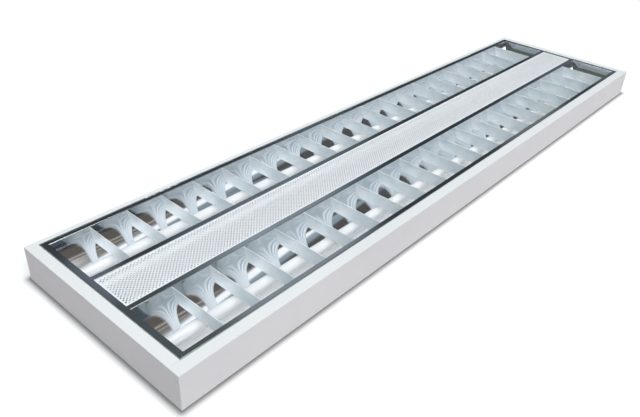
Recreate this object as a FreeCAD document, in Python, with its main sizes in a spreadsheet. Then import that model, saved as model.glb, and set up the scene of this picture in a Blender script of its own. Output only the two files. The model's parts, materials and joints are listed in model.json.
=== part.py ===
import FreeCAD, Part
import os
import math
import Sketcher

os.makedirs("parts", exist_ok=True)

V = FreeCAD.Vector
doc = FreeCAD.newDocument("recessed_troffer")

# ---------------------------------------------------------------------------
# Driving dimensions, in millimetres.  The light lies on its back: +X runs along
# the lamps, +Y towards the hinge side, +Z out through the louvre.  The origin is
# the middle of the back face.
# ---------------------------------------------------------------------------
sheet = doc.addObject("Spreadsheet::Sheet", "Dims")
DIMS = [
    ("length_all", 1195.0, "housing length"),
    ("width_all", 295.0, "housing width"),
    ("height_all", 48.5, "housing height"),
    ("wall", 0.8, "housing sheet"),
    ("rim_near", 16.0, "rim on the catch side"),
    ("rim_far", 7.0, "rim on the hinge side"),
    ("rim_end", 14.8, "rim on each end"),
    ("rim_lip", 5.0, "folded lip below the rim"),
    ("gap_frame", 0.8, "gap between rim and louvre frame"),
    ("end_flange", 30.0, "end plate foot on the floor"),
    ("side_flange", 12.0, "end plate side fold"),
    ("near_edge", -130.7, "louvre frame, outer edge on the catch side"),
    ("near_in", -123.5, "near chamber, outer edge of the opening"),
    ("near_out", -35.0, "near chamber, inner edge of the opening"),
    ("bar_wide", 8.0, "width of a centre bar"),
    ("far_out", 43.0, "far chamber, inner edge of the opening"),
    ("far_in", 131.5, "far chamber, outer edge of the opening"),
    ("far_edge", 137.8, "louvre frame, outer edge on the hinge side"),
    ("end_in", 573.8, "inner edge of the end bars from the middle"),
    ("end_edge", 581.9, "outer edge of the end bars from the middle"),
    ("skin", 0.5, "mirror aluminium sheet"),
    ("bar_lip", 4.0, "folded lip of the louvre frame"),
    ("cell_count", 21.0, "cells in each chamber"),
    ("cell_pitch", 54.65, "distance between cross blades"),
    ("blade_deep", 21.0, "depth of a cross blade"),
    ("blade_thick", 0.6, "thickness of a cross blade"),
    ("curve_one", 0.0693, "reflector inset, linear term"),
    ("curve_two", 0.016, "reflector inset, square term"),
    ("mirror_deep", 37.5, "depth of the side reflectors"),
    ("tube_radius", 7.9, "lamp glass radius"),
    ("tube_wall", 0.8, "lamp glass thickness"),
    ("tube_axis", 18.5, "lamp axis above the back"),
    ("tube_face", 574.5, "lamp base face from the middle"),
    ("cap_radius", 8.0, "lamp cap radius"),
    ("cap_long", 11.0, "lamp cap length"),
    ("pin_radius", 1.185, "lamp pin radius"),
    ("pin_half", 2.375, "half the lamp pin spacing"),
    ("pin_long", 7.1, "lamp pin length"),
    ("near_axis", -79.25, "near lamp axis"),
    ("far_axis", 87.25, "far lamp axis"),
    ("holder_face", 575.2, "lampholder face from the middle"),
    ("holder_thick", 13.0, "lampholder thickness"),
    ("holder_half", 11.0, "half width of a lampholder"),
    ("holder_top", 31.0, "top of a lampholder"),
    ("rotor_radius", 7.0, "lampholder rotor radius"),
    ("rotor_long", 8.5, "lampholder rotor length"),
    ("mid_axis", 4.0, "centre line of the louvre"),
    ("ballast_half", 180.0, "half length of the ballast"),
    ("ballast_wide", 30.0, "ballast width"),
    ("ballast_high", 21.0, "ballast height"),
    ("cover_half", 555.0, "half length of the gear cover"),
    ("cover_wide", 48.0, "gear cover width"),
    ("cover_high", 25.0, "gear cover height"),
    ("hinge_y", 139.1, "hinge axis, across"),
    ("hinge_z", 47.4, "hinge axis, height"),
    ("knuckle_radius", 1.1, "hinge knuckle radius"),
    ("wire_radius", 0.6, "hinge wire radius"),
    ("hinge_pitch", 400.0, "distance between hinges"),
    ("hinge_long", 60.0, "length of a hinge"),
    ("catch_x", 300.0, "catch from the middle"),
    ("fix_x", 450.0, "fixing hole from the middle, along"),
    ("fix_y", 115.0, "fixing hole from the middle, across"),
    ("fix_radius", 3.5, "fixing hole radius"),
    ("entry_x", 330.0, "cable entry from the middle"),
    ("entry_radius", 9.5, "cable entry hole radius"),
    ("bush_bore", 5.0, "cable bush bore radius"),
    ("lead_radius", 1.3, "lamp lead radius"),
    ("pivot_out", 2.7, "catch pivot from the wall"),
    ("pivot_up", 9.0, "catch pivot above the back"),
    ("pivot_pin", 1.2, "catch pin radius"),
]
VALUE = {}
for row, (alias, value, note) in enumerate(DIMS, start=1):
    sheet.set("A%d" % row, alias)
    sheet.set("B%d" % row, repr(value))
    sheet.setAlias("B%d" % row, alias)
    sheet.set("C%d" % row, note)
    VALUE[alias] = value
doc.recompute()


class Q:
    """A length that knows both its value and the formula that gives it."""

    def __init__(self, v, e=None):
        self.v = float(v)
        self.e = e if e is not None else ("%.6f" % v)

    def _o(self, other):
        return other if isinstance(other, Q) else Q(other)

    def __add__(self, o):
        o = self._o(o)
        return Q(self.v + o.v, "(%s + %s)" % (self.e, o.e))

    __radd__ = __add__

    def __sub__(self, o):
        o = self._o(o)
        return Q(self.v - o.v, "(%s - (%s))" % (self.e, o.e))

    def __rsub__(self, o):
        return self._o(o) - self

    def __mul__(self, o):
        o = self._o(o)
        return Q(self.v * o.v, "(%s * %s)" % (self.e, o.e))

    __rmul__ = __mul__

    def __truediv__(self, o):
        o = self._o(o)
        return Q(self.v / o.v, "(%s / %s)" % (self.e, o.e))

    def __neg__(self):
        return Q(-self.v, "(0 - (%s))" % self.e)


def D(alias):
    return Q(VALUE[alias], "Dims.%s" % alias)


def q(x):
    return x if isinstance(x, Q) else Q(x)


BODIES = []


def new_body(label):
    body = doc.addObject("PartDesign::Body", label)
    body.Label = label
    BODIES.append(body)
    return body


def plane_of(body, role):
    for o in body.Origin.OriginFeatures:
        if o.Role == role:
            return o
    raise RuntimeError("no plane " + role)


COUNT = [0]


def sketch(body, role, offset, loops, circles=()):
    """Closed loops of points and circles on one of the body's own planes."""
    COUNT[0] += 1
    sk = body.newObject("Sketcher::SketchObject", "sk%03d" % COUNT[0])
    sk.AttachmentSupport = [(plane_of(body, role), "")]
    sk.MapMode = "FlatFace"
    off = q(offset)
    sk.AttachmentOffset = FreeCAD.Placement(V(0, 0, off.v), FreeCAD.Rotation())
    sk.setExpression("AttachmentOffset.Base.z", off.e)
    bind = []
    g = 0
    for pts in loops:
        n = len(pts)
        pts = [(q(a), q(b)) for a, b in pts]
        for i in range(n):
            a, c = pts[i], pts[(i + 1) % n]
            sk.addGeometry(Part.LineSegment(V(a[0].v, a[1].v, 0), V(c[0].v, c[1].v, 0)), False)
        for i in range(n):
            sk.addConstraint(Sketcher.Constraint("Coincident", g + i, 2, g + (i + 1) % n, 1))
        for i in range(n):
            for ax, kind in ((0, "DistanceX"), (1, "DistanceY")):
                k = sk.addConstraint(Sketcher.Constraint(kind, -1, 1, g + i, 1, pts[i][ax].v))
                bind.append((k, pts[i][ax]))
        g += n
    for cx, cy, r in circles:
        cx, cy, r = q(cx), q(cy), q(r)
        sk.addGeometry(Part.Circle(V(cx.v, cy.v, 0), V(0, 0, 1), r.v), False)
        for kind, val in (("DistanceX", cx), ("DistanceY", cy)):
            k = sk.addConstraint(Sketcher.Constraint(kind, -1, 1, g, 3, val.v))
            bind.append((k, val))
        k = sk.addConstraint(Sketcher.Constraint("Radius", g, r.v))
        bind.append((k, r))
        g += 1
    for k, val in bind:
        if "Dims." in val.e:
            sk.setExpression("Constraints[%d]" % k, val.e)
    return sk


def pad(body, role, offset, loops, length, circles=(), both=False):
    sk = sketch(body, role, offset, loops, circles)
    f = body.newObject("PartDesign::Pad", "pad%03d" % COUNT[0])
    f.Profile = sk
    if both:
        f.SideType = "Symmetric"
    length = q(length)
    f.Length = length.v
    if "Dims." in length.e:
        f.setExpression("Length", length.e)
    body.Tip = f
    sk.Visibility = False
    return f


CUTS = []


def pocket(body, role, offset, loops, length, circles=()):
    """A cut of the given length, half on each side of its sketch."""
    base = body.Tip
    sk = sketch(body, role, offset, loops, circles)
    f = body.newObject("PartDesign::Pocket", "cut%03d" % COUNT[0])
    f.Profile = sk
    f.SideType = "Symmetric"
    length = q(length)
    f.Length = length.v
    if "Dims." in length.e:
        f.setExpression("Length", length.e)
    body.Tip = f
    sk.Visibility = False
    CUTS.append((body.Label, base, f))
    return f


def rect(x0, x1, y0, y1):
    return [(x0, y0), (x1, y0), (x1, y1), (x0, y1)]


def block(body, x0, x1, y0, y1, z0, z1):
    return pad(body, "XY_Plane", z0, [rect(x0, x1, y0, y1)], q(z1) - z0)


L2 = D("length_all") / 2
W2 = D("width_all") / 2
H = D("height_all")
t = D("wall")
rn = D("rim_near")
rf = D("rim_far")
sk_ = D("skin")
axis_z = D("tube_axis")


# ---------------------------------------------------------------------------
# Housing: one folded tray (back, two long walls and their rims)
# ---------------------------------------------------------------------------
tray = new_body("housing_tray")
pad(tray, "YZ_Plane", 0, [[
    (-W2, 0), (W2, 0), (W2, H), (W2 - rf, H), (W2 - rf, H - t), (W2 - t, H - t), (W2 - t, t),
    (-W2 + t, t), (-W2 + t, H - t), (-W2 + rn - t, H - t), (-W2 + rn - t, H - D("rim_lip")),
    (-W2 + rn, H - D("rim_lip")), (-W2 + rn, H), (-W2, H)]],
    D("length_all") - 2 * t, both=True)
# fixing holes, cable entries and rivet holes in the back
fx, fy = D("fix_x"), D("fix_y")
ex = D("entry_x")
my = D("mid_axis")
holes = [(sx * fx, sy * fy, D("fix_radius")) for sx in (1, -1) for sy in (1, -1)]
holes += [(-ex, my, D("entry_radius")), (ex, my, D("entry_radius"))]
RIV_Y = (-115.0, -40.0, 48.0, 122.0)
for s in (1, -1):
    for ry in RIV_Y:
        holes.append((s * (L2 - 6), ry, Q(1.65)))
LH_Y = (("near_axis", -14.5), ("near_axis", 14.5), ("far_axis", -14.5), ("far_axis", 14.5))
for s in (1, -1):
    for ax, dy in LH_Y:
        holes.append((s * (D("holder_face") + D("holder_thick") / 2), D(ax) + dy, Q(1.5)))
BAL_X = D("ballast_half") + 5
for s in (1, -1):
    holes.append((s * BAL_X, my, Q(1.8)))
COV_X = (-500.0, -215.0, 215.0, 500.0)
for cx in COV_X:
    for sgn in (1, -1):
        holes.append((cx, my + sgn * (D("cover_wide") / 2 + 5), Q(1.6)))
holes.append((-288.0, my, Q(2.05)))
for dy in (-11.0, 11.0):
    holes.append((-256.0, my + dy, Q(1.3)))
pocket(tray, "XY_Plane", t / 2, [], 4 * t, circles=holes)

# ---------------------------------------------------------------------------
# End plates: wall, rim with its lip, foot on the floor, side folds
# ---------------------------------------------------------------------------
for name, s in (("end_plate_left", -1), ("end_plate_right", 1)):
    b = new_body(name)
    pad(b, "YZ_Plane", s * (L2 - t / 2), [rect(-W2, W2, 0, H)], t, both=True)
    block(b, s * (L2 - t), s * (L2 - D("rim_end")), -W2 + rn + 0.15, W2 - rf - 0.15, H - t, H)
    block(b, s * (L2 - D("rim_end") + t), s * (L2 - D("rim_end")), -W2 + rn + 0.15, W2 - rf - 0.15,
          H - D("rim_lip"), H - t)
    block(b, s * (L2 - t), s * (L2 - D("end_flange")), -W2 + 14, W2 - 14, t, 2 * t)
    for sy in (1, -1):
        block(b, s * (L2 - t), s * (L2 - D("side_flange")), sy * (W2 - t - 0.1), sy * (W2 - 2 * t - 0.1),
              t + 2, H - t - 2)
    cc = [(s * (L2 - 6), ry, Q(1.65)) for ry in RIV_Y]
    cc += [(s * (D("holder_face") + D("holder_thick") / 2), D(ax) + dy, Q(1.5)) for ax, dy in LH_Y]
    pocket(b, "XY_Plane", 1.5 * t, [], 3 * t, circles=cc)

b = new_body("end_plate_rivets")
cc = [(s * (L2 - 6), ry) for s in (1, -1) for ry in RIV_Y]
pad(b, "XY_Plane", 0, [], 2 * t + 0.1, circles=[(x, y, Q(1.6)) for x, y in cc])
pad(b, "XY_Plane", 2 * t, [], 1.0, circles=[(x, y, Q(3.0)) for x, y in cc])

# ---------------------------------------------------------------------------
# Lampholders: a body with a round socket and a slot in its top for the pins
# ---------------------------------------------------------------------------
hf, ht, hh = D("holder_face"), D("holder_thick"), D("holder_half")
for name, s in (("lampholders_left", -1), ("lampholders_right", 1)):
    b = new_body(name)
    for ax in ("near_axis", "far_axis"):
        block(b, s * hf, s * (hf + ht), D(ax) - hh, D(ax) + hh, 2 * t, D("holder_top"))
        block(b, s * (hf + 1), s * (hf + ht - 1), D(ax) - hh - 7, D(ax) + hh + 7, 2 * t, 2 * t + 2.4)
    socket_depth = D("rotor_long") + 0.5
    for ax in ("near_axis", "far_axis"):
        pocket(b, "YZ_Plane", s * hf, [], 2 * socket_depth, circles=[(D(ax), axis_z, D("rotor_radius") + 0.05)])
        pocket(b, "YZ_Plane", s * hf, [rect(D(ax) - 1.6, D(ax) + 1.6, axis_z, D("holder_top") + 1)],
               2 * socket_depth)
    pocket(b, "XY_Plane", 2 * t + 1.2, [], 4.0,
           circles=[(s * (hf + ht / 2), D(ax) + dy, Q(1.6)) for ax, dy in LH_Y])

b = new_body("lampholder_screws")
cc = [(s * (hf + ht / 2), D(ax) + dy) for s in (1, -1) for ax, dy in LH_Y]
pad(b, "XY_Plane", 0.1, [], 2 * t + 2.4, circles=[(x, y, Q(1.4)) for x, y in cc])
pad(b, "XY_Plane", 2 * t + 2.4, [], 1.6, circles=[(x, y, Q(2.7)) for x, y in cc])
pocket(b, "XY_Plane", 2 * t + 4.0, [rect(x - 2.0, x + 2.0, y - 0.3, y + 0.3) for x, y in cc], 1.6)

# ---------------------------------------------------------------------------
# Lamps: glass, caps, pins, and the rotors that turn with them
# ---------------------------------------------------------------------------
tf = D("tube_face")
for side in ("near", "far"):
    y0 = D(side + "_axis")
    b = new_body("lamp_glass_" + side)
    glass_half = tf - 2.0
    pad(b, "YZ_Plane", 0, [], 2 * glass_half, circles=[(y0, axis_z, D("tube_radius"))], both=True)
    pocket(b, "YZ_Plane", 0, [], 2 * glass_half + 2,
           circles=[(y0, axis_z, D("tube_radius") - D("tube_wall"))])
    b = new_body("lamp_caps_" + side)
    for s in (1, -1):
        mid = s * (tf - D("cap_long") / 2)
        pad(b, "YZ_Plane", mid, [], D("cap_long"), circles=[(y0, axis_z, D("cap_radius") + 0.25)], both=True)
    for s in (1, -1):
        pocket(b, "YZ_Plane", s * (tf - D("cap_long") / 2 - 1.5), [], D("cap_long"),
               circles=[(y0, axis_z, D("tube_radius") + 0.05)])
        pocket(b, "YZ_Plane", s * tf, [], 6.0,
               circles=[(y0 + D("pin_half"), axis_z, D("pin_radius") + 0.01),
                        (y0 - D("pin_half"), axis_z, D("pin_radius") + 0.01)])
    b = new_body("lamp_pins_" + side)
    for s in (1, -1):
        pad(b, "YZ_Plane", s * (tf - 1.4 + (D("pin_long") + 1.4) / 2), [], D("pin_long") + 1.4,
            circles=[(y0 + D("pin_half"), axis_z, D("pin_radius")),
                     (y0 - D("pin_half"), axis_z, D("pin_radius"))], both=True)
    b = new_body("holder_rotors_" + side)
    for s in (1, -1):
        pad(b, "YZ_Plane", s * (hf + D("rotor_long") / 2 + 0.1), [], D("rotor_long") - 0.2,
            circles=[(y0, axis_z, D("rotor_radius"))], both=True)
    for s in (1, -1):
        pocket(b, "YZ_Plane", s * hf, [rect(y0 - 8, y0 + 8, axis_z - 1.3, axis_z + 1.3)],
               2 * (D("pin_long") + 0.2))

# ---------------------------------------------------------------------------
# Control gear under the middle of the louvre
# ---------------------------------------------------------------------------
bh, bw, bhi = D("ballast_half"), D("ballast_wide"), D("ballast_high")
b = new_body("ballast_base")
block(b, -bh - 10, bh + 10, my - bw / 2, my + bw / 2, t, t + 1.0)
for sy in (1, -1):
    block(b, -bh, bh, my + sy * (bw / 2), my + sy * (bw / 2 - 0.8), t + 1.0, t + 10)
pocket(b, "XY_Plane", t + 0.5, [], 4.0, circles=[(BAL_X, my, Q(2.0)), (-BAL_X, my, Q(2.0))])
b = new_body("ballast_lid")
pad(b, "YZ_Plane", 0, [[
    (my - bw / 2 + 0.9, t + 3), (my - bw / 2 + 0.9, t + bhi), (my + bw / 2 - 0.9, t + bhi),
    (my + bw / 2 - 0.9, t + 3), (my + bw / 2 - 1.6, t + 3), (my + bw / 2 - 1.6, t + bhi - 0.7),
    (my - bw / 2 + 1.6, t + bhi - 0.7), (my - bw / 2 + 1.6, t + 3)]], 2 * bh, both=True)
b = new_body("ballast_board")
block(b, -bh + 12, bh - 12, my - 11.5, my + 11.5, t + 4, t + 5.6)
for cx, w, dd, hgt in ((-120, 22, 16, 11), (-80, 14, 14, 12), (-30, 18, 18, 12), (30, 30, 12, 10), (85, 20, 18, 11),
                       (125, 12, 12, 9)):
    block(b, Q(cx - w / 2), Q(cx + w / 2), my - dd / 2, my + dd / 2, t + 5.6, t + 5.6 + hgt)
for cx in (-55, 0, 60, 105):
    pad(b, "XY_Plane", t + 5.6, [], 11, circles=[(Q(cx), my, Q(4.0))])
b = new_body("ballast_terminals")
for s in (1, -1):
    block(b, s * (bh - 11), s * (bh + 1), my - 12, my + 12, t + 1.1, t + 14)
    pocket(b, "YZ_Plane", s * (bh + 1), [], 12.0,
           circles=[(my + dy, t + 5.0, Q(1.45)) for dy in (-8, -3, 3, 8)])
b = new_body("ballast_screws")
pad(b, "XY_Plane", 0.1, [], t + 1.0, circles=[(BAL_X, my, Q(1.7)), (-BAL_X, my, Q(1.7))])
pad(b, "XY_Plane", t + 1.0, [], 1.8, circles=[(BAL_X, my, Q(3.2)), (-BAL_X, my, Q(3.2))])

cw, ch, c2 = D("cover_wide"), D("cover_high"), D("cover_half")
b = new_body("gear_cover")
pad(b, "YZ_Plane", 0, [[
    (my - cw / 2 - 10, t), (my - cw / 2 - 10, 2 * t), (my - cw / 2, 2 * t), (my - cw / 2, t + ch),
    (my + cw / 2, t + ch), (my + cw / 2, 2 * t), (my + cw / 2 + 10, 2 * t), (my + cw / 2 + 10, t),
    (my + cw / 2 - t, t), (my + cw / 2 - t, ch), (my - cw / 2 + t, ch), (my - cw / 2 + t, t)]],
    2 * c2, both=True)
pocket(b, "XY_Plane", 1.5 * t, [], 3 * t,
       circles=[(Q(cx), my + sgn * (cw / 2 + 5), Q(1.7)) for cx in COV_X for sgn in (1, -1)])
b = new_body("gear_cover_screws")
cc = [(Q(cx), my + sgn * (cw / 2 + 5)) for cx in COV_X for sgn in (1, -1)]
pad(b, "XY_Plane", 0.1, [], 2 * t, circles=[(x, y, Q(1.5)) for x, y in cc])
pad(b, "XY_Plane", 2 * t, [], 1.6, circles=[(x, y, Q(2.9)) for x, y in cc])
pocket(b, "XY_Plane", 2 * t + 1.6, [rect(x - 2.1, x + 2.1, y - 0.3, y + 0.3) for x, y in cc], 1.4)

# mains terminal block, its screws, earth stud and nut
b = new_body("terminal_block")
block(b, -265, -241, my - 15, my + 15, t, t + 14)
pocket(b, "XY_Plane", t + 14, [], 14.0, circles=[(-253.0, my + dy, Q(2.4)) for dy in (-7.5, 0, 7.5)])
pocket(b, "YZ_Plane", -241, [], 10.0, circles=[(my + dy, t + 5.0, Q(2.0)) for dy in (-7.5, 0, 7.5)])
pocket(b, "YZ_Plane", -265, [], 10.0, circles=[(my + dy, t + 5.0, Q(2.0)) for dy in (-7.5, 0, 7.5)])
for dy in (-11.0, 11.0):
    pocket(b, "XY_Plane", t + 7, [], 30.0, circles=[(-256.0, my + dy, Q(1.4))])
b = new_body("terminal_screws")
pad(b, "XY_Plane", t + 7.5, [], 5.0, circles=[(-253.0, my + dy, Q(2.3)) for dy in (-7.5, 0, 7.5)])
pocket(b, "XY_Plane", t + 12.5, [rect(Q(-255.5), Q(-250.5), my + dy - 0.35, my + dy + 0.35) for dy in (-7.5, 0, 7.5)],
       2.4)
pad(b, "XY_Plane", 0.1, [], t + 14, circles=[(-256.0, my + dy, Q(1.2)) for dy in (-11.0, 11.0)])
pad(b, "XY_Plane", t + 14.1, [], 1.4, circles=[(-256.0, my + dy, Q(2.3)) for dy in (-11.0, 11.0)])
b = new_body("earth_stud")
pad(b, "XY_Plane", 0, [], t + 11, circles=[(-288.0, my, Q(2.0))])
pad(b, "XY_Plane", t, [], 1.2, circles=[(-288.0, my, Q(4.0))])
b = new_body("earth_nut")
hexa = [(Q(-288.0 + 4.04 * math.cos(math.radians(60 * i + 30))), my + 4.04 * math.sin(math.radians(60 * i + 30)))
        for i in range(6)]
pad(b, "XY_Plane", t + 2.2, [hexa], 3.2)
pad(b, "XY_Plane", t + 1.2, [], 1.0, circles=[(-288.0, my, Q(4.5))])
pocket(b, "XY_Plane", t + 3.0, [], 12.0, circles=[(-288.0, my, Q(2.05))])

# cable bush and blanking plug in the two cable entries
b = new_body("cable_bush")
er = D("entry_radius")
pad(b, "XY_Plane", 0, [], 8.0, circles=[(-ex, my, er - 0.1)])
pad(b, "XY_Plane", t, [], 2.2, circles=[(-ex, my, er + 3.5)])
pocket(b, "XY_Plane", 4.0, [], 20.0, circles=[(-ex, my, D("bush_bore"))])
b = new_body("blank_plug")
pad(b, "XY_Plane", 0, [], 4.0, circles=[(ex, my, er - 0.1)])
pad(b, "XY_Plane", t, [], 1.6, circles=[(ex, my, er + 3.0)])

# ---------------------------------------------------------------------------
# Hinges on the far rim: fixed leaf, wire and moving leaf
# ---------------------------------------------------------------------------
hy, hz, kr, wr = D("hinge_y"), D("hinge_z"), D("knuckle_radius"), D("wire_radius")
hl2 = D("hinge_long") / 2
HX = [D("hinge_pitch") * k for k in (-1, 0, 1)]
fixed_spans = [(-30.0, -18.2), (-5.8, 5.8), (18.2, 30.0)]
moving_spans = [(-17.9, -6.1), (6.1, 17.9)]
b = new_body("hinge_leaves_fixed")
for x0 in HX:
    block(b, x0 - hl2, x0 + hl2, hy + kr + 0.4, W2 - t - 0.2, hz - 0.35, hz + 0.25)
    for a, c in fixed_spans:
        block(b, x0 + a, x0 + c, hy, hy + kr + 0.5, hz - 0.35, hz + 0.25)
        pad(b, "YZ_Plane", x0 + (a + c) / 2, [], c - a, circles=[(hy, hz, kr)], both=True)
    for a, c in fixed_spans:
        pocket(b, "YZ_Plane", x0 + (a + c) / 2, [], c - a + 1.0, circles=[(hy, hz, wr + 0.05)])
b = new_body("hinge_wires")
for x0 in HX:
    pad(b, "YZ_Plane", x0, [], D("hinge_long"), circles=[(hy, hz, wr)], both=True)
b = new_body("hinge_leaves_moving")
for x0 in HX:
    block(b, x0 - hl2, x0 + hl2, D("far_in") + 1.2, D("far_edge") - 0.1, hz - 0.05, hz + 0.55)
    for a, c in moving_spans:
        block(b, x0 + a, x0 + c, D("far_edge") - 0.2, hy, hz - 0.05, hz + 0.55)
        pad(b, "YZ_Plane", x0 + (a + c) / 2, [], c - a, circles=[(hy, hz, kr)], both=True)
    for a, c in moving_spans:
        pocket(b, "YZ_Plane", x0 + (a + c) / 2, [], c - a + 0.4, circles=[(hy, hz, wr + 0.05)])

# ---------------------------------------------------------------------------
# Spring catches on the near wall and the striker tabs they press on
# ---------------------------------------------------------------------------
wy = -W2 + t


def strip(points, thick):
    """Outline of a bent strip of constant thickness along a path of (y, z)."""
    left, right = [], []
    n = len(points)
    for i, (y, z) in enumerate(points):
        d = []
        if i > 0:
            d.append((y - points[i - 1][0], z - points[i - 1][1]))
        if i < n - 1:
            d.append((points[i + 1][0] - y, points[i + 1][1] - z))
        d = [(a / math.hypot(a, c), c / math.hypot(a, c)) for a, c in d]
        if len(d) == 2:
            ty, tz = d[0][0] + d[1][0], d[0][1] + d[1][1]
            m = math.hypot(ty, tz)
            ty, tz = ty / m, tz / m
            k = 1.0 / max(0.3, ty * d[0][0] + tz * d[0][1])
        else:
            ty, tz = d[0]
            k = 1.0
        left.append((y - tz * thick / 2 * k, z + ty * thick / 2 * k))
        right.append((y + tz * thick / 2 * k, z - ty * thick / 2 * k))
    return left + right[::-1]


pivot_y, pivot_z = D("pivot_out"), D("pivot_up")
catch_path = [(VALUE["pivot_out"], VALUE["pivot_up"] + 1.35), (3.1, 20.0), (3.4, 29.0), (4.2, 33.6), (15.2, 37.2), (15.5, 39.0),
              (6.0, 41.6)]
for name, s in (("catch_left", -1), ("catch_right", 1)):
    b = new_body(name)
    x0 = s * D("catch_x")
    pad(b, "YZ_Plane", x0, [], 14.0, circles=[(wy + pivot_y, pivot_z, Q(1.9))], both=True)
    pts = [(wy + dy, Q(z)) for dy, z in strip(catch_path, 0.5)]
    pad(b, "YZ_Plane", x0, [pts], 14.0, both=True)
    pocket(b, "YZ_Plane", x0, [], 16.0, circles=[(wy + pivot_y, pivot_z, D("pivot_pin") + 0.05)])

# each catch turns on a pin between the ears of a small bracket on the wall
b = new_body("catch_brackets")
for s in (1, -1):
    x0 = s * D("catch_x")
    block(b, x0 - 14, x0 + 14, wy, wy + 0.5, pivot_z - 4, pivot_z + 4)
    for e in (1, -1):
        block(b, x0 + e * 7.4, x0 + e * 8.4, wy + 0.4, wy + 5.4, pivot_z - 3, pivot_z + 3)
for s in (1, -1):
    x0 = s * D("catch_x")
    pocket(b, "YZ_Plane", x0, [], 20.0, circles=[(wy + pivot_y, pivot_z, D("pivot_pin"))])
    pocket(b, "XZ_Plane", -(wy + 0.25), [], 2.0, circles=[(x0 + e * 11.3, pivot_z, Q(1.1)) for e in (1, -1)])
b = new_body("catch_pins")
for s in (1, -1):
    pad(b, "YZ_Plane", s * D("catch_x"), [], 17.6, circles=[(wy + pivot_y, pivot_z, D("pivot_pin"))], both=True)
b = new_body("catch_studs")
for s in (1, -1):
    for e in (1, -1):
        xr = s * D("catch_x") + e * 11.3
        pad(b, "XZ_Plane", -(wy + 0.3), [], 0.6, circles=[(xr, pivot_z, Q(1.1))], both=True)
        pad(b, "XZ_Plane", -(wy + 1.0), [], 1.0, circles=[(xr, pivot_z, Q(2.0))], both=True)
b = new_body("striker_tabs")
ny = D("near_edge")
for s in (1, -1):
    x0 = s * D("catch_x")
    block(b, x0 - 9, x0 + 9, ny + 0.6, ny + 1.2, H - 15, H - 0.6)
    block(b, x0 - 9, x0 + 9, ny + 0.6, ny + 6.2, H - 1.2, H - 0.6)
    pocket(b, "XZ_Plane", -(ny + 0.9), [rect(x0 - 7.6, x0 + 7.6, Q(36.4), Q(40.6))], 2.0)

# ---------------------------------------------------------------------------
# Louvre frame: mirror sheet parts.  The side reflectors follow a parabola whose
# inset grows with depth below the opening.
# ---------------------------------------------------------------------------
def inset(h):
    return D("curve_one") * h + D("curve_two") * h * h


def inset_v(h):
    return VALUE["curve_one"] * h + VALUE["curve_two"] * h * h


def mirror_sheet(label, edge, direction, before, x_half, top=None):
    """Folded sheet: a flat run described by 'before' (list of (y, z) from the
    free edge up to the opening edge), then the parabola going down and towards
    the lamp.  direction is +1 when the lamp is towards +Y."""
    sk_v = VALUE["skin"]
    zt = VALUE["height_all"] - sk_v / 2
    n = 14
    deep = VALUE["mirror_deep"]
    pts = [(edge - direction * 0.25 + direction * inset_v(deep * i / n), zt - deep * i / n) for i in range(n + 1)]
    path = list(before) + pts
    inner, outer = [], []
    m = len(path)
    for i, (y, z) in enumerate(path):
        d = []
        if i > 0:
            d.append((y - path[i - 1][0], z - path[i - 1][1]))
        if i < m - 1:
            d.append((path[i + 1][0] - y, path[i + 1][1] - z))
        d = [(a / math.hypot(a, c), c / math.hypot(a, c)) for a, c in d]
        if len(d) == 2:
            ty, tz = d[0][0] + d[1][0], d[0][1] + d[1][1]
            k0 = math.hypot(ty, tz)
            ty, tz = ty / k0, tz / k0
            k = 1.0 / max(0.35, ty * d[0][0] + tz * d[0][1])
        else:
            ty, tz = d[0]
            k = 1.0
        inner.append(V(0, y - tz * sk_v / 2 * k, z + ty * sk_v / 2 * k))
        outer.append(V(0, y + tz * sk_v / 2 * k, z - ty * sk_v / 2 * k))
    nb = len(before)
    edges = []
    for i in range(nb):
        edges.append(Part.LineSegment(inner[i], inner[i + 1]).toShape())
    c = Part.BSplineCurve()
    c.interpolate(inner[nb:])
    edges.append(c.toShape())
    edges.append(Part.LineSegment(inner[-1], outer[-1]).toShape())
    c = Part.BSplineCurve()
    c.interpolate(outer[nb:][::-1])
    edges.append(c.toShape())
    for i in range(nb, 0, -1):
        edges.append(Part.LineSegment(outer[i], outer[i - 1]).toShape())
    edges.append(Part.LineSegment(outer[0], inner[0]).toShape())
    wire = Part.Wire(edges)
    face = Part.Face(wire)
    solid = face.extrude(V(2 * x_half, 0, 0))
    solid.translate(V(-x_half, 0, 0))
    return solid


def prism(points, z0, z1):
    wire = Part.makePolygon([V(x, y, z0) for x, y in points] + [V(points[0][0], points[0][1], z0)])
    return Part.Face(wire).extrude(V(0, 0, z1 - z0))


def box(x0, x1, y0, y1, z0, z1):
    s = Part.makeBox(x1 - x0, y1 - y0, z1 - z0)
    s.translate(V(x0, y0, z0))
    return s


def feature(label, shape):
    f = doc.addObject("Part::Feature", label)
    f.Label = label
    f.Shape = shape
    f.Placement = FreeCAD.Placement(V(0, 0, 0), FreeCAD.Rotation())
    BODIES.append(f)
    return f


vH = VALUE["height_all"]
zt = vH - VALUE["skin"] / 2
ei, ee = VALUE["end_in"], VALUE["end_edge"]
ne, ni, no = VALUE["near_edge"], VALUE["near_in"], VALUE["near_out"]
fe, fi, fo = VALUE["far_edge"], VALUE["far_in"], VALUE["far_out"]
bwv = VALUE["bar_wide"]
half_cells = int(VALUE["cell_count"])
pitch = VALUE["cell_pitch"]
blade_x = [pitch * (k - (half_cells - 2) / 2.0) for k in range(half_cells - 1)]


def slots(y_edge, direction):
    """Slots in a reflector for the blade tabs."""
    out = []
    for x0 in blade_x:
        a = y_edge - direction * 2.0
        c = y_edge + direction * 4.6
        out.append(box(x0 - 0.45, x0 + 0.45, min(a, c), max(a, c), vH - 13.3, vH - 7.7))
    return out


def finish_mirror(solid, cuts):
    for c in cuts:
        solid = solid.cut(c)
    solid = solid.removeSplitter()
    return solid


big = 700.0
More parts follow.
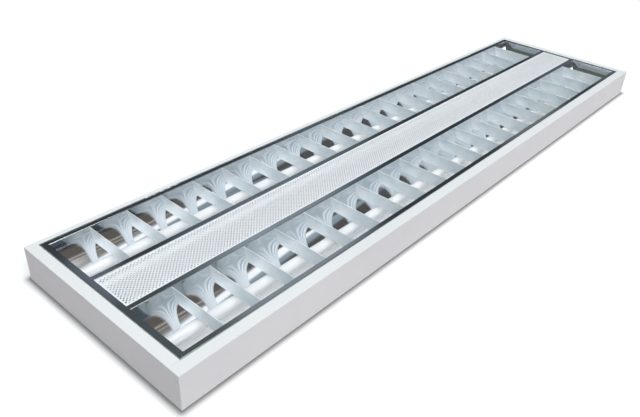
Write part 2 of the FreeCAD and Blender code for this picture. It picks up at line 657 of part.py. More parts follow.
# near outer reflector with the near bar as its top; its ends are mitred
s0 = mirror_sheet("reflector_near_outer", ni, 1, [(ne + 0.25, vH - VALUE["bar_lip"]), (ne + 0.25, zt)], ee)
cuts = []
for s in (1, -1):
    x_in, x_out = s * ei, s * ee
    g = 0.06 * s
    cuts.append(prism([(x_in - g, ni), (x_out - g, ne), (x_out - g, ne - 3), (s * big, ne - 3), (s * big, ni + 60),
                       (x_in - g, ni + 60)], -1, vH + 1))
    a, c = sorted((s * (ei - 0.7), s * big))
    cuts.append(box(a, c, ni - 0.6, ni + 60, -1, vH - 0.7))
cuts.append(Part.makeCompound(slots(ni, 1)))
feature("reflector_near_outer", finish_mirror(s0, cuts))

# far outer reflector with the far bar; its flat stops short of the hinge
s0 = mirror_sheet("reflector_far_outer", fi, -1, [(fe, zt)], ee)
cuts = []
for s in (1, -1):
    x_in, x_out = s * ei, s * ee
    g = 0.06 * s
    cuts.append(prism([(x_in - g, fi), (x_out - g, fe), (x_out - g, fe + 3), (s * big, fe + 3), (s * big, fi - 60),
                       (x_in - g, fi - 60)], -1, vH + 1))
    a, c = sorted((s * (ei - 0.7), s * big))
    cuts.append(box(a, c, fi - 60, fi + 0.6, -1, vH - 0.7))
cuts.append(Part.makeCompound(slots(fi, -1)))
feature("reflector_far_outer", finish_mirror(s0, cuts))

# inner reflectors carry the centre bars and a ledge for the centre panel
drop = 1.3
for label, edge, direction in (("reflector_near_inner", no, -1), ("reflector_far_inner", fo, 1)):
    bar_out = edge - direction * bwv
    before = [(bar_out - direction * 5.0, zt - drop), (bar_out + direction * 0.25, zt - drop),
              (bar_out + direction * 0.25, zt)]
    s0 = mirror_sheet(label, edge, direction, before, ei - 0.1)
    cuts = [Part.makeCompound(slots(edge, direction))]
    for s in (1, -1):
        a, c = sorted((s * (ei - 0.7), s * big))
        lo, hi = sorted((edge - direction * 0.6, edge + direction * 60))
        cuts.append(box(a, c, lo, hi, -1, vH - 0.7))
    feature(label, finish_mirror(s0, cuts))

# end bars with their outer lips, mitred to the long bars
for name, s in (("frame_end_left", -1), ("frame_end_right", 1)):
    b = new_body(name)
    pad(b, "XY_Plane", H - sk_, [[
        (s * (D("end_in")), D("near_in")), (s * D("end_edge"), D("near_edge")),
        (s * D("end_edge"), D("far_edge")), (s * D("end_in"), D("far_in"))]], sk_)
    block(b, s * D("end_edge"), s * (D("end_edge") - sk_), D("near_edge") + 1.0, D("far_edge") - 1.0,
          H - D("bar_lip"), H - sk_)

# end reflectors: short curved mirrors that close each chamber at its ends
eg = 0.3
for name, s in (("end_reflectors_left", -1), ("end_reflectors_right", 1)):
    solids = []
    for y_a, y_b in ((ni, no), (fo, fi)):
        path = [(ei + 6.5, vH - 0.8), (ei - 0.35, vH - 0.8)]
        n = 8
        for i in range(1, n + 1):
            h = (VALUE["blade_deep"] - 0.8) * i / n
            path.append((ei - 0.35 - inset_v(h), vH - 0.8 - h))
        outline = strip(path, VALUE["skin"])
        wire = Part.makePolygon([V(s * x, 0, z) for x, z in outline] + [V(s * outline[0][0], 0, outline[0][1])])
        f = Part.Face(wire)
        so = f.extrude(V(0, y_b - y_a + 2, 0))
        so.translate(V(0, y_a - 1, 0))
        # trim to the chamber between the side reflectors
        pts = []
        m = 8
        for i in range(m + 1):
            h = 24.0 * i / m
            pts.append((y_a + eg + inset_v(h), vH - h))
        for i in range(m, -1, -1):
            h = 24.0 * i / m
            pts.append((y_b - eg - inset_v(h), vH - h))
        wire = Part.makePolygon([V(-big, y, z) for y, z in pts] + [V(-big, pts[0][0], pts[0][1])])
        chamber = Part.Face(wire).extrude(V(2 * big, 0, 0))
        solids.append(so.common(chamber).removeSplitter())
    feature(name, Part.makeCompound([x for so in solids for x in so.Solids]))

# cross blades: one sheet each, with tabs through the side reflectors
bt, bd = D("blade_thick"), D("blade_deep")
for side in ("near", "far"):
    ya, yb = (D("near_in"), D("near_out")) if side == "near" else (D("far_out"), D("far_in"))
    b = new_body("cross_blades_" + side)
    left, right = [], []
    steps = [0.6, 4.0, 7.9, 7.9, 13.1, 13.1, 17.0, 21.0]
    kinds = [0, 0, 0, 1, 1, 0, 0, 0]
    for h, kind in zip(steps, kinds):
        hq = Q(h) if h < 21.0 else bd
        if kind:
            left.append((ya - 1.2, H - hq))
            right.append((yb + 1.2, H - hq))
        else:
            left.append((ya + 0.3 + inset(hq), H - hq))
            right.append((yb - 0.3 - inset(hq), H - hq))
    loop = left + right[::-1]
    first = -D("cell_pitch") * (D("cell_count") - 2) / 2
    f = pad(b, "YZ_Plane", first, [loop], bt, both=True)
    lp = b.newObject("PartDesign::LinearPattern", "rows_" + side)
    lp.Originals = [f]
    lp.Direction = (plane_of(b, "X_Axis"), [""])
    span = D("cell_pitch") * (D("cell_count") - 2)
    lp.Length = span.v
    lp.setExpression("Length", span.e)
    lp.Occurrences = int(VALUE["cell_count"]) - 1
    lp.setExpression("Occurrences", "Dims.cell_count - 1")
    b.Tip = lp

# centre panel between the two centre bars
b = new_body("centre_panel")
block(b, -D("end_in") + 0.4, D("end_in") - 0.4, D("near_out") + D("bar_wide") + 0.3, D("far_out") - D("bar_wide") - 0.3,
      H - 1.25, H - 0.65)

# corner keys under the mitres, and the rivets that hold them
b = new_body("corner_keys")
riv = []
z1 = H - sk_ - 0.05
for s in (1, -1):
    block(b, s * (D("end_in") + 7.2), s * (D("end_in") - 24), ny + 1.3, ny + 6.2, z1 - 0.8, z1)
    block(b, s * (D("end_in") - 24), s * (D("end_in") + 7.2), D("far_in") + 1.2, D("far_edge") - 0.4, z1 - 0.8, z1)
    riv.append((s * (D("end_in") - 16), ny + 3.8))
    riv.append((s * (D("end_in") - 16), D("far_in") + 3.4))
    riv.append((s * (D("end_in") + 4.5), ny + 3.8))
    riv.append((s * (D("end_in") + 4.5), D("far_in") + 3.4))
b = new_body("key_rivets")
pad(b, "XY_Plane", z1 - 2.0, [], 1.2, circles=[(x, y, Q(1.9)) for x, y in riv])

# ---------------------------------------------------------------------------
# Internal leads, held on the floor under the gear cover
# ---------------------------------------------------------------------------
def route(label, points, radius, bends):
    """One lead; prints the radius of each of its bends."""
    print(label, "bend radii", bends)
    edges = []
    p = [V(*a) for a in points]
    start = p[0]
    for i in range(1, len(p) - 1):
        a = (p[i - 1] - p[i]).normalize()
        c = (p[i + 1] - p[i]).normalize()
        ang = a.getAngle(c)
        bend = bends[i - 1]
        e0 = p[i] + a * (bend / math.tan(ang / 2))
        e1 = p[i] + c * (bend / math.tan(ang / 2))
        mid_dir = (a + c).normalize()
        mid = p[i] + mid_dir * (bend / math.sin(ang / 2) - bend)
        edges.append(Part.LineSegment(start, e0).toShape())
        edges.append(Part.Arc(e0, mid, e1).toShape())
        start = e1
    edges.append(Part.LineSegment(start, p[-1]).toShape())
    wire = Part.Wire(edges)
    prof = Part.Wire([Part.Circle(p[0], (p[1] - p[0]).normalize(), radius).toShape()])
    solid = wire.makePipeShell([prof], True, False)
    want = math.pi * radius * radius * wire.Length
    if abs(solid.Volume - want) > 0.01 * want:
        raise RuntimeError("lead volume %r, expected %r" % (solid.Volume, want))
    return solid


lr = VALUE["lead_radius"]
lz = VALUE["wall"] + 5.0
mid = VALUE["mid_axis"]
xb = VALUE["ballast_half"] + 1.2
xh = VALUE["holder_face"] + 2.0
for name, s in (("lamp_leads_left", -1), ("lamp_leads_right", 1)):
    solids = []
    for d, target in ((-1, VALUE["near_axis"] + VALUE["holder_half"]), (1, VALUE["far_axis"] - VALUE["holder_half"])):
        pts = [(s * xb, mid + d * 8, lz), (s * (xb + 14), mid + d * 8, lz), (s * (xb + 32), mid + d * 19, lz),
               (s * xh, mid + d * 19, lz), (s * xh, target, lz)]
        solids.append(route(name, pts, lr, [20.0, 28.0, 18.0]))
    feature(name, Part.makeCompound(solids))
cores = []
for d in (-1, 1):
    pts = [(-240.8, mid + d * 7.5, lz), (-232.0, mid + d * 7.5, lz), (-214.0, mid + d * 3.0, lz), (-xb, mid + d * 3.0, lz)]
    cores.append(route("mains_lead", pts, lr, [25.0, 40.0]))
feature("mains_lead", Part.makeCompound(cores))

doc.recompute()

# ---------------------------------------------------------------------------
# Tests, then one file per piece
# ---------------------------------------------------------------------------
bad = []
for o in doc.Objects:
    st = [x for x in o.State if x in ("Invalid", "Error")]
    if st:
        bad.append((o.Name, st))
if bad:
    raise RuntimeError("failed objects: %r" % bad)
for owner, base, cut in CUTS:
    if not cut.Shape.Volume < base.Shape.Volume - 1e-6:
        raise RuntimeError("a cut removed nothing in " + owner)
seen = set()
for o in BODIES:
    sh = o.Shape
    if sh.isNull() or not sh.isValid() or sh.Volume <= 0:
        raise RuntimeError("bad shape " + o.Label)
    if o.Label in seen:
        raise RuntimeError("label used twice " + o.Label)
    seen.add(o.Label)
for o in BODIES:
    o.Shape.exportStep("parts/%s.step" % o.Label)
    bb = o.Shape.BoundBox
    print("%-24s solids %3d  vol %10.1f  x %.1f..%.1f y %.1f..%.1f z %.2f..%.2f" % (
        o.Label, len(o.Shape.Solids), o.Shape.Volume, bb.XMin, bb.XMax, bb.YMin, bb.YMax, bb.ZMin, bb.ZMax))
print("nodes", len(BODIES))
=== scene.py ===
import json
import math

import bmesh
import bpy
import numpy as np
from mathutils import Matrix, Vector


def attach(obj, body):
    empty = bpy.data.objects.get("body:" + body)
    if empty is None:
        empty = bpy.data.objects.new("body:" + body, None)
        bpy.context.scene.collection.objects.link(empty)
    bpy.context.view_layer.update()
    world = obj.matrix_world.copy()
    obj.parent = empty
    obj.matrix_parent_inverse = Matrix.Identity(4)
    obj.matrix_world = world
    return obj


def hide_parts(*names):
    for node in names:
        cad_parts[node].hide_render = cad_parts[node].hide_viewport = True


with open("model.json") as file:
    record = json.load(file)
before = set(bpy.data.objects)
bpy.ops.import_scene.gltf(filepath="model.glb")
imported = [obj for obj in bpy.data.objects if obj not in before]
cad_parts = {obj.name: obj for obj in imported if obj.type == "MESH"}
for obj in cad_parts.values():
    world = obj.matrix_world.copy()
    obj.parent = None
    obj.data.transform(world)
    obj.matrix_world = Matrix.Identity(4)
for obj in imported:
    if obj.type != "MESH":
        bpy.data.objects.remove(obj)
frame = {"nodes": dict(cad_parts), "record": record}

NODES = frame["nodes"]
SCENE = bpy.context.scene
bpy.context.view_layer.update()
MM = 0.001

# Sizes of the light in millimetres, as in the model it is dressed on
H = 48.5
NE, NI, NO = -130.7, -123.5, -35.0          # near chamber: frame edge, opening edges
FO, FI, FE = 43.0, 131.5, 137.8             # far chamber: opening edges, frame edge
BAR = 8.0
EI, EE = 573.8, 581.9                       # end bars, inner and outer edge
SKIN = 0.5
ZT = H - SKIN / 2
PITCH, CELLS = 54.65, 21
BLADE_X = [PITCH * (k - (CELLS - 2) / 2.0) for k in range(CELLS - 1)]
DEEP = 39.2
MY = 4.0
LAMPS = {"near": -79.25, "far": 87.25}
LAMP_Z = 18.5


def inset(h):
    """How far a side reflector has come in from its opening edge at depth h."""
    return 0.238 * h + 0.0077 * h * h + 2e-6 * h ** 4


def end_inset(h):
    return 0.05 * h + 0.011 * h * h


# ---------------------------------------------------------------------------
# Mesh helpers
# ---------------------------------------------------------------------------
def make(name, verts, faces, mats, body, replaces=(), angle=38.0, recalc=True, index=None):
    """A mesh piece from points in millimetres, riding on a body."""
    me = bpy.data.meshes.new(name)
    v = np.asarray(verts, float) * MM
    me.from_pydata(v.tolist(), [], [list(map(int, f)) for f in faces])
    if index is not None:
        me.polygons.foreach_set("material_index", np.asarray(index, np.int32))
    if recalc:
        bm = bmesh.new()
        bm.from_mesh(me)
        bmesh.ops.recalc_face_normals(bm, faces=bm.faces[:])
        bm.to_mesh(me)
        bm.free()
    me.validate()
    me.update()
    me.polygons.foreach_set("use_smooth", np.ones(len(me.polygons), bool))
    me.set_sharp_from_angle(angle=math.radians(angle))
    for m in mats:
        me.materials.append(m)
    ob = bpy.data.objects.new(name, me)
    SCENE.collection.objects.link(ob)
    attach(ob, body)
    if replaces:
        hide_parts(*replaces)
    return ob


def skins(front, back, keep=None):
    """Closed sheet from two grids of points; cells that aren't kept are holes with walls."""
    n, m = front.shape[:2]
    if keep is None:
        keep = np.ones((n - 1, m - 1), bool)
    off = n * m
    pts = np.concatenate([front.reshape(-1, 3), back.reshape(-1, 3)])
    faces = []

    def kept(i, j):
        return 0 <= i < n - 1 and 0 <= j < m - 1 and keep[i, j]

    for i in range(n - 1):
        for j in range(m - 1):
            if not keep[i, j]:
                continue
            a, b, c, d = i * m + j, i * m + j + 1, (i + 1) * m + j + 1, (i + 1) * m + j
            faces.append((a, b, c, d))
            faces.append((d + off, c + off, b + off, a + off))
            if not kept(i - 1, j):
                faces.append((b, a, a + off, b + off))
            if not kept(i + 1, j):
                faces.append((d, c, c + off, d + off))
            if not kept(i, j - 1):
                faces.append((a, d, d + off, a + off))
            if not kept(i, j + 1):
                faces.append((c, b, b + off, c + off))
    used = np.unique(np.array([x for f in faces for x in f]))
    remap = -np.ones(len(pts), int)
    remap[used] = np.arange(len(used))
    return pts[used], [tuple(remap[x] for x in f) for f in faces]


def join(parts):
    """Several (points, faces) as one."""
    pts, faces, base = [], [], 0
    for p, f in parts:
        pts.append(np.asarray(p, float))
        faces += [tuple(x + base for x in q) for q in f]
        base += len(p)
    return np.concatenate(pts), faces


def rounded(points, radius, steps=5):
    """A polyline with an arc at each inner point; radius may be a list."""
    p = [np.asarray(q, float) for q in points]
    out = [p[0]]
    for i in range(1, len(p) - 1):
        r = radius[i - 1] if isinstance(radius, (list, tuple)) else radius
        a, b = p[i - 1] - p[i], p[i + 1] - p[i]
        la, lb = np.linalg.norm(a), np.linalg.norm(b)
        a, b = a / la, b / lb
        ang = math.acos(max(-1, min(1, float(a @ b))))
        if r <= 0 or ang > math.pi - 1e-3:
            out.append(p[i])
            continue
        cut = min(r / math.tan(ang / 2), 0.48 * la, 0.48 * lb)
        r = cut * math.tan(ang / 2)
        mid = (a + b) / np.linalg.norm(a + b)
        centre = p[i] + mid * (r / math.sin(ang / 2))
        s, e = p[i] + a * cut - centre, p[i] + b * cut - centre
        t = math.acos(max(-1, min(1, float(s @ e) / (r * r))))
        for k in range(steps + 1):
            w = k / steps
            out.append(centre + (math.sin((1 - w) * t) * s + math.sin(w * t) * e) / math.sin(t))
    out.append(p[-1])
    return np.array(out)


def firm(path, gap=0.12, least=0.9):
    """A point beside each end of every long run, so its flat stays flat up to the bends."""
    out = [path[0]]
    for a, b in zip(path[:-1], path[1:]):
        d = np.linalg.norm(b - a)
        if d > least:
            out += [a + (b - a) * gap / d, b - (b - a) * gap / d]
        out.append(b)
    return np.array(out)


def offset(path, half):
    """The two sides of a path at +-half."""
    d = np.diff(path, axis=0)
    d /= np.linalg.norm(d, axis=1)[:, None]
    t = np.vstack([d[:1], d[:-1] + d[1:], d[-1:]])
    t /= np.linalg.norm(t, axis=1)[:, None]
    k = np.ones(len(path))
    k[1:-1] = 1.0 / np.maximum(0.4, np.sum(t[1:-1] * d[:-1], axis=1))
    n = np.stack([-t[:, 1], t[:, 0]], 1) * (half * k)[:, None]
    return path + n, path - n


def revolve(profile, y0, z0, segs=64, close=True):
    """Points and faces of a profile of (x, r) turned about a line along X."""
    pts, faces = [], []
    rings = []
    for x, r in profile:
        if r <= 1e-6:
            rings.append([len(pts)])
            pts.append((x, y0, z0))
        else:
            ring = []
            for k in range(segs):
                a = 2 * math.pi * k / segs
                ring.append(len(pts))
                pts.append((x, y0 + r * math.cos(a), z0 + r * math.sin(a)))
            rings.append(ring)
    for a, b in zip(rings[:-1], rings[1:]):
        for k in range(segs):
            k2 = (k + 1) % segs
            if len(a) == 1:
                faces.append((a[0], b[k], b[k2]))
            elif len(b) == 1:
                faces.append((a[k2], a[k], b[0]))
            else:
                faces.append((a[k], b[k], b[k2], a[k2]))
    return np.array(pts), faces


# ---------------------------------------------------------------------------
# Materials
# ---------------------------------------------------------------------------
class Mat:
    """A small builder for one node material."""

    def __init__(self, name):
        self.m = bpy.data.materials.new(name)
        self.m.use_nodes = True
        self.nt = self.m.node_tree
        self.nt.nodes.clear()
        self.out = self.nt.nodes.new("ShaderNodeOutputMaterial")
        self.b = self.nt.nodes.new("ShaderNodeBsdfPrincipled")
        self.nt.links.new(self.b.outputs[0], self.out.inputs[0])
        self.co = self.nt.nodes.new("ShaderNodeTexCoord")

    def set(self, **kw):
        for k, v in kw.items():
            self.b.inputs[k.replace("_", " ")].default_value = v
        return self

    def mapped(self, scale=(1, 1, 1), loc=(0, 0, 0)):
        n = self.nt.nodes.new("ShaderNodeMapping")
        n.inputs["Scale"].default_value = scale
        n.inputs["Location"].default_value = loc
        self.nt.links.new(self.co.outputs["Object"], n.inputs["Vector"])
        return n.outputs[0]

    def noise(self, scale, detail=3.0, rough=0.5, vec=None, stretch=(1, 1, 1)):
        n = self.nt.nodes.new("ShaderNodeTexNoise")
        n.inputs["Scale"].default_value = scale
        n.inputs["Detail"].default_value = detail
        n.inputs["Roughness"].default_value = rough
        self.nt.links.new(vec or self.mapped(stretch), n.inputs["Vector"])
        return n.outputs["Fac"]

    def ramp(self, fac, stops):
        n = self.nt.nodes.new("ShaderNodeValToRGB")
        e = n.color_ramp.elements
        while len(e) < len(stops):
            e.new(0.5)
        for k, (p, c) in enumerate(stops):
            e[k].position = p
            e[k].color = (*c, 1.0) if len(c) == 3 else c
        self.nt.links.new(fac, n.inputs[0])
        return n.outputs[0]

    def rng(self, fac, a, b, lo_=0.0, hi_=1.0):
        n = self.nt.nodes.new("ShaderNodeMapRange")
        n.inputs["From Min"].default_value = lo_
        n.inputs["From Max"].default_value = hi_
        n.inputs["To Min"].default_value = a
        n.inputs["To Max"].default_value = b
        self.nt.links.new(fac, n.inputs["Value"])
        return n.outputs[0]

    def math(self, op, a, b=0.0):
        n = self.nt.nodes.new("ShaderNodeMath")
        n.operation = op
        for k, v in enumerate((a, b)):
            if isinstance(v, (int, float)):
                n.inputs[k].default_value = v
            else:
                self.nt.links.new(v, n.inputs[k])
        return n.outputs[0]

    def mix(self, fac, a, b, blend="MIX"):
        n = self.nt.nodes.new("ShaderNodeMix")
        n.data_type = "RGBA"
        n.blend_type = blend
        for s, v in ((n.inputs[0], fac), (n.inputs[6], a), (n.inputs[7], b)):
            if isinstance(v, (int, float)):
                s.default_value = v
            elif isinstance(v, tuple):
                s.default_value = (*v, 1.0) if len(v) == 3 else v
            else:
                self.nt.links.new(v, s)
        return n.outputs[2]

    def bump(self, height, strength, distance, normal=None):
        n = self.nt.nodes.new("ShaderNodeBump")
        n.inputs["Strength"].default_value = strength
        n.inputs["Distance"].default_value = distance
        self.nt.links.new(height, n.inputs["Height"])
        if normal is not None:
            self.nt.links.new(normal, n.inputs["Normal"])
        return n.outputs[0]

    def to(self, socket, value):
        self.nt.links.new(value, self.b.inputs[socket])
        return self

    def sep(self):
        n = self.nt.nodes.new("ShaderNodeSeparateXYZ")
        self.nt.links.new(self.co.outputs["Object"], n.inputs[0])
        return n.outputs


def paint(name, dark, light, rough=(0.36, 0.50), peel=0.35, inside=None):
    """Powder coat: fine orange peel, faint clouds of tone, and inside the tray a near-white colour that is painted
    light, lifting the tray floor shaded by the lamp and louvre.
    """
    k = Mat(name)
    cloud = k.noise(5.0, 5.0, 0.55)
    fine = k.noise(60.0, 4.0, 0.6)
    base = k.mix(k.rng(cloud, 0.0, 1.0, 0.32, 0.68), dark, light)
    base = k.mix(k.rng(fine, 0.0, 0.05, 0.35, 0.70), base, (0.62, 0.64, 0.66))
    if inside:
        # painted light: within the tray the colour is lifted to near white, so its floor in the shade of lamp and
        # louvre reads bright
        x, y, z = k.sep()
        within = k.math("MULTIPLY", k.math("LESS_THAN", k.math("ABSOLUTE", x), 0.594),
                        k.math("MULTIPLY", k.math("LESS_THAN", k.math("ABSOLUTE", y), 0.1455),
                               k.math("MULTIPLY", k.math("LESS_THAN", z, 0.044), k.math("GREATER_THAN", z, 0.0004))))
        base = k.mix(within, base, inside)
    k.to("Base Color", base)
    k.to("Roughness", k.rng(fine, rough[0], rough[1], 0.3, 0.7))
    grain = k.noise(900.0, 2.0, 0.5)
    k.to("Normal", k.bump(grain, peel, 0.00004))
    k.set(Specular_IOR_Level=0.45)
    return k.m


def metal(name, dark, light, rough=(0.2, 0.35), stretch=(1, 1, 1), line=400.0, bump=0.25, depth=0.00002, wave=0.0,
          wave_stretch=(2.0, 30.0, 30.0), metallic=1.0, cloudy=8.0):
    """Metal with rolling lines or grain, and for mirror sheet a slow wave."""
    k = Mat(name)
    cloud = k.noise(cloudy, 4.0, 0.5)
    grain = k.noise(line, 3.0, 0.6, stretch=stretch)
    base = k.mix(k.rng(cloud, 0.0, 1.0, 0.3, 0.7), dark, light)
    k.to("Base Color", base)
    mixed = k.math("ADD", k.math("MULTIPLY", cloud, 0.5), k.math("MULTIPLY", grain, 0.5))
    k.to("Roughness", k.rng(mixed, rough[0], rough[1], 0.3, 0.7))
    k.set(Metallic=metallic)
    normal = None
    if wave > 0:
        slow = k.noise(1.0, 1.5, 0.45, stretch=wave_stretch)
        normal = k.bump(slow, 1.0, wave)
    k.to("Normal", k.bump(grain, bump, depth, normal))
    return k.m


M = {}
# the inside colour is painted light: it lifts the shaded tray floor well above the outside paint
M["housing_paint"] = paint("housing_paint", (0.735, 0.765, 0.770), (0.765, 0.795, 0.800), inside=(0.975, 0.98, 0.985))
M["panel_paint"] = paint("panel_paint", (0.785, 0.818, 0.845), (0.815, 0.846, 0.872), rough=(0.38, 0.52))
M["white_sheet"] = paint("white_sheet", (0.53, 0.55, 0.57), (0.58, 0.60, 0.62), rough=(0.30, 0.42))
M["mirror_aluminium"] = metal("mirror_aluminium", (0.82, 0.85, 0.88), (0.88, 0.90, 0.92), rough=(0.05, 0.10),
                              stretch=(0.03, 1, 1), line=700.0, bump=0.10, depth=0.000008, wave=0.00006)
M["satin_aluminium"] = metal("satin_aluminium", (0.72, 0.82, 0.86), (0.90, 0.96, 0.99), rough=(0.34, 0.45),
                             stretch=(1, 0.04, 1), line=900.0, bump=0.20, depth=0.00001, metallic=0.22, cloudy=34.0)
M["cap_aluminium"] = metal("cap_aluminium", (0.70, 0.70, 0.71), (0.80, 0.80, 0.81), rough=(0.25, 0.40),
                           stretch=(1, 0.1, 0.1), line=900.0)
M["brass"] = metal("brass", (0.66, 0.50, 0.22), (0.78, 0.62, 0.32), rough=(0.18, 0.34), line=600.0)
M["zinc"] = metal("zinc", (0.56, 0.57, 0.60), (0.70, 0.71, 0.73), rough=(0.22, 0.40), line=500.0)
M["spring_steel"] = metal("spring_steel", (0.30, 0.31, 0.34), (0.42, 0.43, 0.46), rough=(0.25, 0.40),
                          stretch=(1, 1, 0.1), line=600.0)


def galvanised():
    """Zinc-coated sheet with its crystal spangle."""
    k = Mat("zinc_sheet")
    v = k.nt.nodes.new("ShaderNodeTexVoronoi")
    v.inputs["Scale"].default_value = 140.0
    k.nt.links.new(k.mapped((1, 1, 0.6)), v.inputs["Vector"])
    n = k.noise(300.0, 3.0)
    tone = k.nt.nodes.new("ShaderNodeSeparateColor")
    k.nt.links.new(v.outputs["Color"], tone.inputs[0])
    fac = k.math("ADD", k.math("MULTIPLY", tone.outputs[0], 0.7), k.math("MULTIPLY", n, 0.3))
    k.to("Base Color", k.mix(fac, (0.50, 0.51, 0.53), (0.72, 0.73, 0.75)))
    k.to("Roughness", k.rng(tone.outputs[1], 0.28, 0.48))
    k.set(Metallic=1.0)
    k.to("Normal", k.bump(n, 0.2, 0.00002))
    return k.m


M["zinc_sheet"] = galvanised()


def plastic(name, dark, light, rough=(0.25, 0.36), spec=0.5, grain=700.0):
    k = Mat(name)
    cloud = k.noise(40.0, 3.0)
    fine = k.noise(grain, 2.0)
    k.to("Base Color", k.mix(k.rng(cloud, 0, 1, 0.3, 0.7), dark, light))
    k.to("Roughness", k.rng(fine, rough[0], rough[1], 0.3, 0.7))
    k.to("Normal", k.bump(fine, 0.15, 0.00003))
    k.set(Specular_IOR_Level=spec)
    return k.m


M["white_plastic"] = plastic("white_plastic", (0.74, 0.74, 0.72), (0.80, 0.80, 0.78))
M["grey_plastic"] = plastic("grey_plastic", (0.22, 0.225, 0.235), (0.28, 0.285, 0.295), rough=(0.35, 0.5))
M["black_rubber"] = plastic("black_rubber", (0.020, 0.020, 0.021), (0.034, 0.034, 0.036), rough=(0.55, 0.7))
M["lead_insulation"] = plastic("lead_insulation", (0.66, 0.66, 0.64), (0.74, 0.74, 0.72), rough=(0.35, 0.45))


def board():
    """Circuit board: green laminate, with parts in other colours above it."""
    k = Mat("board")
    x, y, z = k.sep()
    v = k.nt.nodes.new("ShaderNodeTexVoronoi")
    v.inputs["Scale"].default_value = 300.0
    k.nt.links.new(k.mapped(), v.inputs["Vector"])
    lines = k.math("GREATER_THAN", k.noise(120.0, 2.0), 0.52)
    lam = k.mix(lines, (0.020, 0.085, 0.045), (0.035, 0.130, 0.070))
    parts = k.mix(k.noise(25.0, 0.0), (0.030, 0.030, 0.035), (0.42, 0.30, 0.10))
    k.to("Base Color", k.mix(k.math("GREATER_THAN", z, 0.0066), lam, parts))
    k.to("Roughness", k.rng(k.noise(200.0), 0.25, 0.5, 0.3, 0.7))
    k.to("Normal", k.bump(v.outputs["Distance"], 0.2, 0.0001))
    return k.m


M["board"] = board()


def glass():
    """Fluorescent tube: clear glass over white phosphor, a little greyer at its ends."""
    k = Mat("lamp_glass")
    x, y, z = k.sep()
    ends = k.rng(k.math("ABSOLUTE", x), 0.0, 1.0, 0.535, 0.565)
    cloud = k.noise(14.0, 4.0, 0.5, stretch=(0.4, 1, 1))
    base = k.mix(k.rng(cloud, 0, 1, 0.3, 0.7), (0.735, 0.755, 0.765), (0.775, 0.790, 0.800))
    base = k.mix(k.math("MULTIPLY", ends, 0.35), base, (0.55, 0.56, 0.57))
    k.to("Base Color", base)
    k.to("Roughness", k.rng(k.noise(90.0), 0.30, 0.42, 0.3, 0.7))
    k.set(Coat_Weight=1.0, Coat_Roughness=0.03, Coat_IOR=1.5)
    return k.m


M["lamp_glass"] = glass()

# ---------------------------------------------------------------------------
# Reflectors with their bars: bent mirror sheet
# ---------------------------------------------------------------------------
H_LIST = [1.4, 2.2, 3.2, 4.3, 5.4, 6.5, 7.45, 8.6, 9.8, 11.0, 12.1, 13.05] + list(np.linspace(14.2, DEEP, 22))


def reflector(name, edge, direction, before, x_flat, body="louvre", bends=()):
    parab = [(edge - direction * 0.25 + direction * inset(h), ZT - h) for h in H_LIST]
    corner = (edge - direction * 0.25, ZT)
    head = firm(rounded(list(before) + [corner, parab[0]], list(bends) + [0.75], steps=5))
    path = np.vstack([head, np.array(parab[1:])])
    a, b = offset(path, SKIN / 2)
    xs = [-1.0]
    for x0 in BLADE_X:
        xs += [x0 - 0.45, x0 + 0.45]
    xs.append(1.0)
    m, n = len(xs), len(path)

    def grid(side):
        g = np.zeros((n, m, 3))
        for i in range(n):
            y, z = path[i]
            e = x_flat(y) if z > H - 0.8 else (EI - 0.7)
            e0 = x_flat(edge)
            if H - 1.6 < z <= H - 0.8:
                e = e0 + (EI - 0.7 - e0) * (H - 0.8 - z) / 0.8
            row = np.array(xs)
            row[0], row[-1] = -e, e
            g[i, :, 0] = row
            g[i, :, 1] = side[i, 0]
            g[i, :, 2] = side[i, 1]
        return g

    keep = np.ones((n - 1, m - 1), bool)
    for i in range(n - 1):
        zm = (path[i][1] + path[i + 1][1]) / 2
        inside = abs(path[i][0] - edge) < 5.0 and i >= len(head) - 1
        if inside and ZT - 13.05 < zm < ZT - 7.45:
            keep[i, 1:-1:2] = False
    pts, faces = skins(grid(a), grid(b), keep)
    return make(name, pts, faces, [M["mirror_aluminium"]], body, [name])


def near_flat(y):
    return EI + (EE - EI) * min(1.0, max(0.0, (NI - y) / (NI - NE))) - 0.06


def far_flat(y):
    return EI + (EE - EI) * min(1.0, max(0.0, (y - FI) / (FE - FI))) - 0.06


reflector("reflector_near_outer", NI, 1, [(NE + 0.25, H - 4.0), (NE + 0.25, ZT)], near_flat, bends=[0.75])
reflector("reflector_far_outer", FI, -1, [(FE, ZT)], far_flat, bends=[])
for label, edge, direction in (("reflector_near_inner", NO, -1), ("reflector_far_inner", FO, 1)):
    out = edge - direction * BAR
    reflector(label, edge, direction,
              [(out - direction * 5.0, ZT - 1.3), (out + direction * 0.25, ZT - 1.3), (out + direction * 0.25, ZT)],
              lambda y: EI - 0.1, bends=[0.35, 0.45])

# End bars, mitred to the long bars, with their outer lips
for name, s in (("frame_end_left", -1), ("frame_end_right", 1)):
    path = rounded([(EI, ZT), (EE - 0.25, ZT), (EE - 0.25, H - 4.0)], 0.75, steps=6)
    path = firm(np.vstack([path[:1], [[EI + 0.5, ZT]], [[EI + 2.5, ZT]], path[1:]]))
    a, b = offset(path, SKIN / 2)
    ys = np.linspace(0, 1, 9)

    def grid(side):
        g = np.zeros((len(path), len(ys), 3))
        for i, (x, z) in enumerate(path):
            w = min(1.0, max(0.0, (x - EI) / (EE - EI)))
            y0 = NI + (NE - NI) * w
            y1 = FI + (FE - FI) * w
            if z < H - 1.2:
                y0, y1 = NE + 1.0, FE - 1.0
            g[i, :, 0] = s * side[i, 0]
            g[i, :, 1] = y0 + (y1 - y0) * ys
            g[i, :, 2] = side[i, 1]
        return g

    pts, faces = skins(grid(a), grid(b))
    make(name, pts, faces, [M["mirror_aluminium"]], "louvre", [name])

